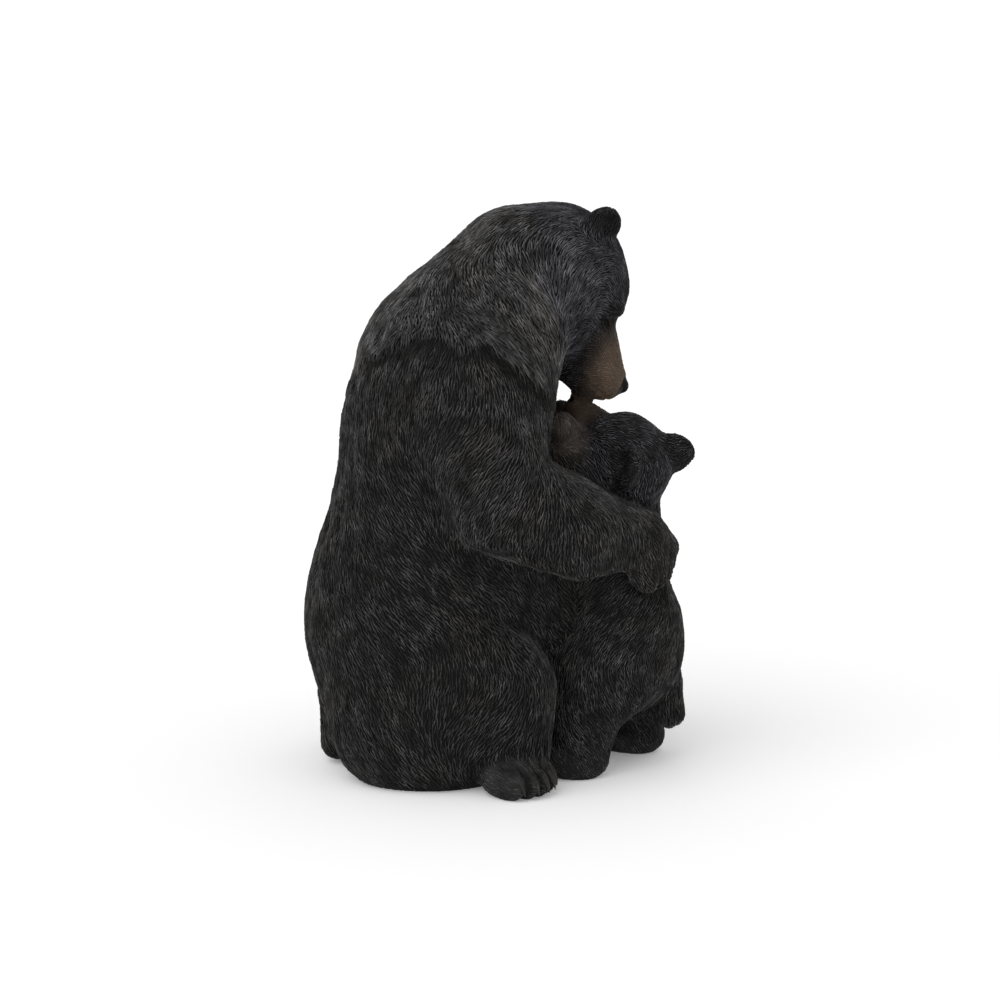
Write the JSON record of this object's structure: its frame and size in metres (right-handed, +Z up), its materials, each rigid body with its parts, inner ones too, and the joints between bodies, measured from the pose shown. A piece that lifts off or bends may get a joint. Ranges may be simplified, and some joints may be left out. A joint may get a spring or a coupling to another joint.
{
  "type": "bear garden statue",
  "caption": "Seated mother bear hugging her standing cub, cast in one piece as a fur-textured garden statue.",
  "frame": {"origin": "on the ground under the middle of the statue's bounding box", "axes": "+Z up, -Y the way the mother faces, +X the mother's left"},
  "size_m": [0.236, 0.2872, 0.4198],
  "materials": {
    "painted_resin": "charcoal paint on cast resin, dry-brushed with grey, satin to matte"
  },
  "bodies": {
    "root": {"bear_and_cub": "painted_resin"}
  },
  "joints": []
}
